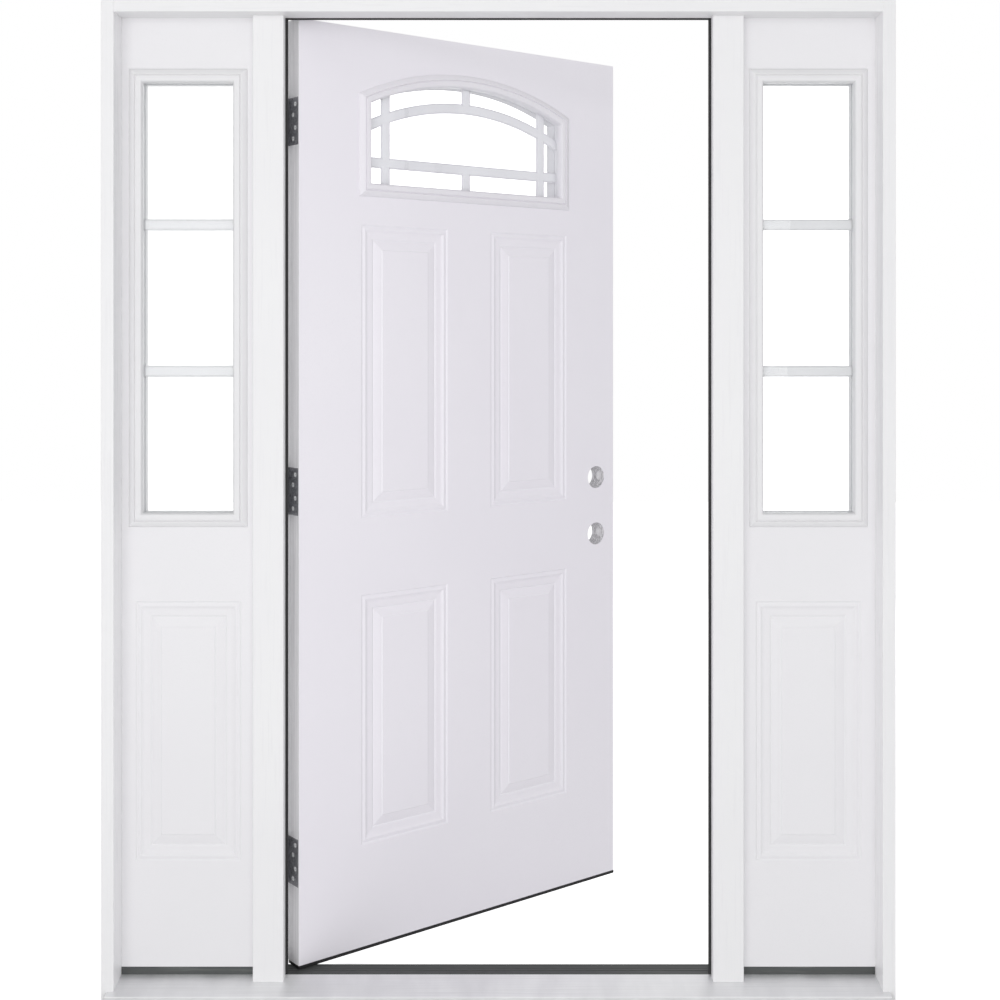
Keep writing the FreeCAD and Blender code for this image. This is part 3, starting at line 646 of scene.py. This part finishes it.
def leaf_skin(name, node, face_y, inwards):
    """A pressed steel skin: four raised panels, the lite's cut-out, two bores, notches at the hinges."""
    bm = bmesh.new()
    right = LEAF_X - LATCH_BEVEL * (1.0 if inwards > 0 else SKIN / LEAF_THICK)
    edge = [(-LEAF_X, LEAF_FOOT), (right, LEAF_FOOT), (right, LEAF_TOP), (-LEAF_X, LEAF_TOP)]
    if inwards < 0:
        for z in reversed(HINGE_HEIGHTS):
            low, high = z - HINGE_LENGTH / 2, z + HINGE_LENGTH / 2
            edge += [(-LEAF_X, high), (-LEAF_X + PLATE, high), (-LEAF_X + PLATE, low), (-LEAF_X, low)]
    loops = [drawn(bm, edge, face_y), drawn(bm, LEAF_LITE.loop(-CUTOUT), face_y)]
    loops += [drawn(bm, circle(BORE_X, z, BORE_RADIUS), face_y) for z in BORE_HEIGHTS]
    loops += [pressed_panel(bm, panel, face_y, inwards) for panel in LEAF_PANELS]
    plate(bm, loops)
    facing(bm, 1, -inwards)
    shaded(bm)
    mesh = to_mesh(bm, name)
    mesh = with_modifier(mesh, "SOLIDIFY", thickness=SKIN * MM, offset=-1.0, use_even_offset=True)
    bm = bmesh.new()
    bm.from_mesh(mesh)
    bmesh.ops.dissolve_limit(bm, angle_limit=FLAT, verts=bm.verts, edges=bm.edges)
    shaded(bm)
    mesh = to_mesh(bm, name, 1.0)
    mesh = with_modifier(mesh, "BEVEL", width=0.35 * MM, segments=2, limit_method="ANGLE",
                         angle_limit=math.radians(75.0), harden_normals=True, use_clamp_overlap=True)
    return finished(name, mesh, STEEL, "leaf", (node,), turned_open())


def lite_moulding(bm, lite, face_y, inwards, setback):
    """The clamp frame round a lite: a sloped border, a quirk, a flat crown and a throat down to the glass.

    A point of the section is how far out from the clear glass, and how high over the face.
    """
    border = [(7.0, -setback), (7.0, 0.0), (29.8, 0.0), (30.0, 0.3), (30.0, 1.0), (29.8, 1.4), (24.4, 5.5),
              (20.4, 8.0), (18.4, 8.95), (17.6, 9.1)]
    quirk = [(17.3, 8.9), (16.9, 7.4), (16.4, 6.6), (15.2, 6.6), (14.7, 7.4), (14.4, 9.0), (14.0, 9.4),
             (13.4, 9.5)]
    throat = [(6.4, 9.5)] + curve((6.4, 9.5), (1.5, 5.0), 8, True)
    lip = [(1.3, 4.3), (0.4, 2.6), (0.05, 1.9), (0.0, 1.2), (0.0, -setback)]
    section = border + quirk + throat + lip
    loops = [drawn(bm, lite.loop(-out), face_y - inwards * height) for out, height in section]
    for first, second in zip(loops, loops[1:] + loops[:1]):
        bridged(bm, first, second, lite.corners())


def lite_frame(name, node, lite, face_y, inwards, body, turn=None, mirror=False):
    """One clamp frame of a lite, seated on the face at face_y; mirror is for the left sidelite."""
    bm = bmesh.new()
    lite_moulding(bm, lite, face_y, inwards, GLASS_SETBACK if inwards > 0 else INNER_SETBACK)
    if mirror:
        bmesh.ops.scale(bm, vec=(-1, 1, 1), verts=bm.verts)
    bmesh.ops.recalc_face_normals(bm, faces=bm.faces)
    shaded(bm, MOULDING_TURN)
    material = LEAF_MOULDED if body == "leaf" else MOULDED
    return finished(name, to_mesh(bm, name), material, body, (node,), turn)


def bar_profile():
    """Contoured grille bar: a raised band with a quirk and a rounded lip each side, as (across, deep)."""
    half = BAR_WIDTH / 2
    quarter = [(half, 1.3), (half - 0.15, 1.8), (half - 0.55, 2.0), (half - 0.95, 1.85), (half - 1.2, 0.3),
               (half - 2.7, 0.3), (half - 3.1, 2.6), (half - 3.7, 2.92), (half - 4.6, 3.0)]
    top = quarter + [(-across, deep) for across, deep in reversed(quarter)]
    return top + [(across, -deep) for across, deep in reversed(top)]


def grille_bar(bm, path, mid_y, fullness=1.0):
    """A grille bar along a path of (x, z) points, in the middle of the glass unit.

    Of two bars that cross, one is less full, so that their faces don't lie in one plane.
    """
    loops = []
    for count, (x, z) in enumerate(path):
        before = Vector(path[max(count - 1, 0)])
        after = Vector(path[min(count + 1, len(path) - 1)])
        along = (after - before).normalized()
        loops.append([bm.verts.new((x - along.y * across, mid_y + deep * fullness, z + along.x * across))
                      for across, deep in bar_profile()])
    for first, second in zip(loops, loops[1:]):
        bridged(bm, first, second)
    bm.faces.new(loops[0])
    bm.faces.new(list(reversed(loops[-1])))


def spacer(bm, lite, y0, y1):
    """The spacer bar all round between the panes, with a shallow channel on the sight side."""
    deep = y1 - y0
    back = -GLASS_BITE
    sight = back + SPACER
    channel = sight - 0.5
    section = [(back, y0), (sight, y0), (sight, y0 + deep * 0.3), (channel, y0 + deep * 0.34),
               (channel, y0 + deep * 0.66), (sight, y0 + deep * 0.7), (sight, y1), (back, y1)]
    loops = [drawn(bm, lite.loop(inset), y) for inset, y in section]
    for first, second in zip(loops, loops[1:] + loops[:1]):
        bridged(bm, first, second, lite.corners())


def leaf_grille():
    """Two uprights, a low bar, a bar along the camber and two short bars on the centre line."""
    bm = bmesh.new()
    mid_y = GLASS_SETBACK + GLASS_UNIT / 2
    lite = LEAF_LITE
    reach = lite.half + BAR_END
    foot = lite.bottom - BAR_END
    low = lite.bottom + LOW_BAR
    arch_radius = lite.radius - ARCH_BAR
    centre = lite.top - lite.radius
    span = math.asin(reach / arch_radius)
    angles = [span * (2 * count / ARCH_PARTS - 1) for count in range(ARCH_PARTS + 1)]
    arch = [(arch_radius * math.sin(angle), centre + arch_radius * math.cos(angle)) for angle in angles]
    grille_bar(bm, [(-reach, low), (reach, low)], mid_y)
    grille_bar(bm, arch, mid_y)
    for x in (-UPRIGHT_BARS, UPRIGHT_BARS):
        grille_bar(bm, [(x, foot), (x, lite.crown(x, -BAR_END))], mid_y, LESS_FULL)
    grille_bar(bm, [(0.0, foot), (0.0, low)], mid_y, LESS_FULL)
    grille_bar(bm, [(0.0, centre + arch_radius), (0.0, lite.crown(0.0, -BAR_END))], mid_y, LESS_FULL)
    spacer(bm, lite, GLASS_SETBACK + PANE, GLASS_SETBACK + GLASS_UNIT - PANE)
    bmesh.ops.recalc_face_normals(bm, faces=bm.faces)
    shaded(bm, MOULDING_TURN)
    return finished("leaf_grille_bars", to_mesh(bm, "leaf_grille_bars"), LEAF_ENAMEL, "leaf",
                    ("leaf_grille",), turned_open())


# Things that repeat

def repeat_tree():
    """Node tree that sets copies of a piece in a row: named inputs for how many and how far apart."""
    tree = bpy.data.node_groups.new("row_of_pieces", "GeometryNodeTree")
    face = tree.interface
    face.new_socket("Geometry", in_out="OUTPUT", socket_type="NodeSocketGeometry")
    face.new_socket("Piece", in_out="INPUT", socket_type="NodeSocketGeometry")
    face.new_socket("Count", in_out="INPUT", socket_type="NodeSocketInt")
    face.new_socket("Step", in_out="INPUT", socket_type="NodeSocketVector")
    face.new_socket("Finish", in_out="INPUT", socket_type="NodeSocketMaterial")
    start = tree.nodes.new("NodeGroupInput")
    end = tree.nodes.new("NodeGroupOutput")
    row = tree.nodes.new("GeometryNodeMeshLine")
    row.mode = "OFFSET"
    copies = tree.nodes.new("GeometryNodeInstanceOnPoints")
    real = tree.nodes.new("GeometryNodeRealizeInstances")
    paint = tree.nodes.new("GeometryNodeSetMaterial")
    tree.links.new(start.outputs["Count"], row.inputs["Count"])
    tree.links.new(start.outputs["Step"], row.inputs["Offset"])
    tree.links.new(row.outputs["Mesh"], copies.inputs["Points"])
    tree.links.new(start.outputs["Piece"], copies.inputs["Instance"])
    tree.links.new(copies.outputs["Instances"], real.inputs["Geometry"])
    tree.links.new(real.outputs["Geometry"], paint.inputs["Geometry"])
    tree.links.new(start.outputs["Finish"], paint.inputs["Material"])
    tree.links.new(paint.outputs["Geometry"], end.inputs["Geometry"])
    return tree


ROW = repeat_tree()


def in_a_row(mesh, count, step, material):
    """mesh, in metres, repeated count times a step apart."""
    holder = bpy.data.objects.new("row_holder", mesh)
    bpy.context.scene.collection.objects.link(holder)
    modifier = holder.modifiers.new("row", "NODES")
    modifier.node_group = ROW
    sockets = {item.name: item.identifier for item in ROW.interface.items_tree if item.in_out == "INPUT"}
    modifier[sockets["Count"]] = count
    modifier[sockets["Step"]] = step
    modifier[sockets["Finish"]] = material
    holder.update_tag()
    seen = holder.evaluated_get(bpy.context.evaluated_depsgraph_get())
    made = bpy.data.meshes.new_from_object(seen)
    bpy.data.objects.remove(holder)
    return made


def screw_head(bm, y, z, out):
    """A countersunk screw head with a cross recess, its face towards out along x, at x = 0."""
    under, shoulder, crown, slot_depth = -0.6 * out, 0.12 * out, 0.32 * out, -0.45 * out
    loops = []
    for x, radius in ((under, SCREW_RADIUS), (shoulder, SCREW_RADIUS), (crown, SCREW_RADIUS - 0.4)):
        loops.append([bm.verts.new((x, a, b)) for a, b in circle(y, z, radius, SCREW_PARTS)])
    for first, second in zip(loops, loops[1:]):
        bridged(bm, first, second)
    bm.faces.new(loops[0])
    arm, width = CROSS_ARM, CROSS_WIDTH
    cross = [(arm, -width), (arm, width), (width, width), (width, arm), (-width, arm), (-width, width)]
    cross += [(-a, -b) for a, b in cross]
    slot_top = [bm.verts.new((crown, y + a, z + b)) for a, b in cross]
    slot_foot = [bm.verts.new((slot_depth, y + a * 0.7, z + b * 0.7)) for a, b in cross]
    bridged(bm, slot_top, slot_foot)
    bm.faces.new(slot_foot)
    plate(bm, [loops[-1], slot_top])


def hinge_screws(name, face_x, out, body, turn=None):
    """Four staggered screws in each of the three hinge plates on one face."""
    bm = bmesh.new()
    for z, y in SCREW_SPOTS:
        screw_head(bm, y, z, out)
    bmesh.ops.translate(bm, vec=(face_x, 0.0, HINGE_HEIGHTS[0]), verts=bm.verts)
    bmesh.ops.recalc_face_normals(bm, faces=bm.faces)
    shaded(bm, 25.0)
    step = (0.0, 0.0, (HINGE_HEIGHTS[1] - HINGE_HEIGHTS[0]) * MM)
    mesh = in_a_row(to_mesh(bm, name), len(HINGE_HEIGHTS), step, SCREW)
    return finished(name, mesh, SCREW, body, (), turn)


def sweep():
    """The strip under the leaf: a carrier plate and a row of tapered downward fins."""
    x0, x1 = -LEAF_X + SWEEP_INSET, LEAF_X - SWEEP_INSET
    y0, y1 = SWEEP_INSET, LEAF_THICK - SWEEP_INSET
    pitch = (y1 - y0 - FIN_THICK) / (SWEEP_FINS - 1)
    bm = bmesh.new()
    fin = [(0.0, 36.4), (0.1, 33.4), (0.3, 30.8), (FIN_THICK / 2, 30.35), (1.1, 30.8), (1.3, 33.4),
           (FIN_THICK, 36.4)]
    ends = [[bm.verts.new((x, y0 + across, z)) for across, z in fin] for x in (x0, x1)]
    bridged(bm, ends[0], ends[1])
    bm.faces.new(ends[0])
    bm.faces.new(list(reversed(ends[1])))
    bmesh.ops.recalc_face_normals(bm, faces=bm.faces)
    shaded(bm, 40.0)
    mesh = in_a_row(to_mesh(bm, "sweep_fins"), SWEEP_FINS, (0.0, pitch * MM, 0.0), SWEEP)
    both = bmesh.new()
    both.from_mesh(mesh)
    bm = bmesh.new()
    bmesh.ops.create_cube(bm, size=1.0)
    bmesh.ops.scale(bm, vec=(x1 - x0, y1 - y0, CARRIER_THICK), verts=bm.verts)
    bmesh.ops.translate(bm, vec=(0.0, (y0 + y1) / 2, CARRIER_MID), verts=bm.verts)
    bmesh.ops.bevel(bm, geom=bm.edges[:], offset=0.3, segments=2, affect="EDGES", profile=0.5)
    both.from_mesh(to_mesh(bm, "sweep_carrier"))
    return finished("leaf_sweep_fins", to_mesh(both, "leaf_sweep_fins", 1.0), SWEEP, "leaf",
                    ("leaf_sweep",), turned_open())


# Sidelites

def sidelite(side):
    """A fixed sidelite: slab with a raised panel, lite frames and a ladder of bars. side is -1 or 1."""
    label = "left" if side < 0 else "right"
    lite = Outline(SIDELITE_MID, *SIDE_LITE)
    panel = Outline(SIDELITE_MID, *SIDE_PANEL)
    edge = Outline(SIDELITE_MID, SIDELITE_WIDTH, *SIDELITE_Z)
    back = SIDELITE_FRONT + LEAF_THICK
    bm = bmesh.new()
    faces = []
    for face_y, inwards in ((SIDELITE_FRONT, 1), (back, -1)):
        rim = drawn(bm, edge.loop(ARRIS), face_y)
        cutout = drawn(bm, lite.loop(-CUTOUT), face_y)
        plate(bm, [rim, cutout, pressed_panel(bm, panel, face_y, inwards)])
        faces.append((rim, drawn(bm, edge.loop(0.0), face_y + inwards * ARRIS), cutout))
    for rim, arris, _ in faces:
        bridged(bm, rim, arris)
    bridged(bm, faces[0][1], faces[1][1])
    bridged(bm, faces[0][2], faces[1][2])
    bmesh.ops.scale(bm, vec=(side, 1, 1), verts=bm.verts)
    bmesh.ops.recalc_face_normals(bm, faces=bm.faces)
    shaded(bm)
    name = label + "_sidelite"
    finished(name + "_slab", to_mesh(bm, name + "_slab"), SLAB, "frame", (name + "_panel",))
    for place, face_y, inwards in (("outer", SIDELITE_FRONT, 1), ("inner", back, -1)):
        lite_frame(f"{name}_{place}_moulding", f"{name}_{place}_lite_frame", lite, face_y, inwards, "frame",
                   mirror=side < 0)
    sidelite_grille(name, lite, side)


def sidelite_grille(name, lite, side):
    """Two level bars that part the lite into three equal lights, and the spacer round them."""
    light = (lite.top - lite.bottom - SIDELITE_BARS * BAR_WIDTH) / (SIDELITE_BARS + 1)
    pitch = light + BAR_WIDTH
    unit_y = SIDELITE_FRONT + GLASS_SETBACK
    reach = lite.half + BAR_END
    z = lite.bottom + light + BAR_WIDTH / 2
    bm = bmesh.new()
    grille_bar(bm, [(lite.mid_x - reach, z), (lite.mid_x + reach, z)], unit_y + GLASS_UNIT / 2)
    bmesh.ops.recalc_face_normals(bm, faces=bm.faces)
    shaded(bm, MOULDING_TURN)
    mesh = in_a_row(to_mesh(bm, name + "_bars"), SIDELITE_BARS, (0.0, 0.0, pitch * MM), ENAMEL)
    bm = bmesh.new()
    spacer(bm, lite, unit_y + PANE, unit_y + GLASS_UNIT - PANE)
    bmesh.ops.scale(bm, vec=(MM, MM, MM), verts=bm.verts)
    bm.from_mesh(mesh)
    bmesh.ops.scale(bm, vec=(side, 1, 1), verts=bm.verts)
    bmesh.ops.recalc_face_normals(bm, faces=bm.faces)
    shaded(bm, MOULDING_TURN)
    mesh = to_mesh(bm, name + "_bars", 1.0)
    finished(name + "_bars", mesh, ENAMEL, "frame", (name + "_grille",))


# Putting the unit together

leaf_skin("leaf_pressed_outer_skin", "leaf_outer_skin", 0.0, 1)
leaf_skin("leaf_pressed_inner_skin", "leaf_inner_skin", LEAF_THICK, -1)
lite_frame("leaf_outer_moulding", "leaf_outer_lite_frame", LEAF_LITE, 0.0, 1, "leaf", turned_open())
lite_frame("leaf_inner_moulding", "leaf_inner_lite_frame", LEAF_LITE, LEAF_THICK, -1, "leaf", turned_open())
leaf_grille()
sweep()
sidelite(-1)
sidelite(1)

for node in ("left_jamb", "right_jamb", "left_mull_post", "right_mull_post"):
    eased(node, UPRIGHT_BOARD, "frame")
for node in ("left_mull_casing", "right_mull_casing"):
    eased(node, UPRIGHT_BOARD, "frame", 0.5)
eased("head_jamb", LEVEL_BOARD, "frame")
eased("sill_deck", ALUMINIUM, "frame", 0.3)
eased("sill_base", SUBSTRATE, "frame")
eased("threshold_cap", COMPOSITE, "frame", 0.5)
eased("sidelite_rails", RAIL, "frame", 0.5)
for node in ("hinge_side_seal", "latch_side_seal", "head_seal"):
    eased(node, SEAL, "frame")
eased("corner_pads", PILE, "frame", 0.8)
for place in ("bottom", "middle", "top"):
    eased(place + "_hinge_jamb_leaf", HINGE, "frame", 0.35)
    eased(place + "_hinge_door_leaf", HINGE, "leaf", 0.35)
eased("hinge_pins", HINGE, "frame", 0.9, 3)
hinge_screws("leaf_hinge_screws", -LEAF_X, -1.0, "leaf", turned_open())
hinge_screws("jamb_hinge_screws", -LEAF_X - HINGE_GAP, 1.0, "frame")

# CAD nodes that are shown as they are, with a finish of their own
KEPT = {
    "leaf_hinge_stile": EDGE,
    "leaf_latch_stile": EDGE,
    "leaf_top_rail": EDGE,
    "leaf_bottom_rail": EDGE,
    "leaf_lock_block": BORE,
    "leaf_core": FOAM,
    "leaf_glass": GLASS,
    "left_sidelite_glass": GLASS,
    "right_sidelite_glass": GLASS,
}
for node, material in KEPT.items():
    mesh = frame["nodes"][node].data
    mesh.materials.clear()
    mesh.materials.append(material)


# Studio

def backed_white(tree, glow, body, seen_by):
    """Joins two shaders: glow for the rays named in seen_by, body for all other light."""
    path = tree.nodes.new("ShaderNodeLightPath")
    found = path.outputs[seen_by[0]]
    for ray in seen_by[1:]:
        either = tree.nodes.new("ShaderNodeMath")
        either.operation = "MAXIMUM"
        tree.links.new(found, either.inputs[0])
        tree.links.new(path.outputs[ray], either.inputs[1])
        found = either.outputs[0]
    mix = tree.nodes.new("ShaderNodeMixShader")
    tree.links.new(found, mix.inputs["Fac"])
    tree.links.new(body, mix.inputs[1])
    tree.links.new(glow, mix.inputs[2])
    return mix.outputs["Shader"]


def studio_world(ambient):
    """White where it is seen, and a plain soft light of strength ambient on the object."""
    world = bpy.data.worlds.new("studio")
    world.use_nodes = True
    tree = world.node_tree
    tree.nodes.clear()
    out = tree.nodes.new("ShaderNodeOutputWorld")
    white = tree.nodes.new("ShaderNodeBackground")
    white.inputs["Color"].default_value = (1.0, 1.0, 1.0, 1.0)
    white.inputs["Strength"].default_value = 1.0
    soft = tree.nodes.new("ShaderNodeBackground")
    soft.inputs["Color"].default_value = (0.985, 0.99, 1.0, 1.0)
    soft.inputs["Strength"].default_value = ambient
    seen = backed_white(tree, white.outputs["Background"], soft.outputs["Background"],
                        ("Is Camera Ray", "Is Glossy Ray", "Is Transmission Ray"))
    tree.links.new(seen, out.inputs["Surface"])
    bpy.context.scene.world = world


def studio_floor():
    """A pale matt floor that looks white to the camera and keeps the object's shadow."""
    bm = bmesh.new()
    bmesh.ops.create_grid(bm, x_segments=1, y_segments=1, size=9.0)
    floor = bpy.data.objects.new("studio_floor", to_mesh(bm, "studio_floor", 1.0))
    bpy.context.scene.collection.objects.link(floor)
    material = bpy.data.materials.new("studio_floor")
    material.use_nodes = True
    tree = material.node_tree
    tree.nodes.clear()
    out = tree.nodes.new("ShaderNodeOutputMaterial")
    matt = tree.nodes.new("ShaderNodeBsdfDiffuse")
    matt.inputs["Color"].default_value = (0.86, 0.86, 0.86, 1.0)
    glow = tree.nodes.new("ShaderNodeEmission")
    glow.inputs["Color"].default_value = (1.0, 1.0, 1.0, 1.0)
    glow.inputs["Strength"].default_value = 0.72
    lit = tree.nodes.new("ShaderNodeAddShader")
    tree.links.new(matt.outputs["BSDF"], lit.inputs[0])
    tree.links.new(glow.outputs["Emission"], lit.inputs[1])
    seen = backed_white(tree, lit.outputs["Shader"], matt.outputs["BSDF"],
                        ("Is Camera Ray", "Is Transmission Ray"))
    tree.links.new(seen, out.inputs["Surface"])
    floor.data.materials.append(material)


def soft_lamp(name, place, aim, width, height, power):
    """A white soft box at place, aimed at aim, that no glossy surface mirrors."""
    data = bpy.data.lights.new(name, "AREA")
    data.shape = "RECTANGLE"
    data.size = width
    data.size_y = height
    data.energy = power
    lamp = bpy.data.objects.new(name, data)
    lamp.location = place
    lamp.rotation_euler = (Vector(aim) - Vector(place)).to_track_quat("-Z", "Y").to_euler()
    lamp.visible_glossy = False
    bpy.context.scene.collection.objects.link(lamp)


def studio_camera():
    """The photo's own viewpoint: level, straight on, shifted down in its frame."""
    data = bpy.data.cameras.new("camera")
    data.sensor_width = 36.0
    data.lens = CAMERA_LENS
    data.shift_x, data.shift_y = CAMERA_SHIFT
    data.clip_start = 0.05
    data.clip_end = 100.0
    camera = bpy.data.objects.new("camera", data)
    camera.location = CAMERA_PLACE
    camera.rotation_euler = (math.pi / 2, 0.0, 0.0)
    bpy.context.scene.collection.objects.link(camera)
    bpy.context.scene.camera = camera


studio_world(0.62)
studio_floor()
soft_lamp("key", (-0.5, -4.3, 1.5), (-0.2, 0.0, 1.2), 4.0, 2.8, 80.0)
soft_lamp("room_side_fill", (0.8, 4.6, 1.6), (0.0, 0.0, 1.1), 3.0, 2.6, 36.0)
studio_camera()
bpy.context.scene.view_settings.view_transform = "Standard"
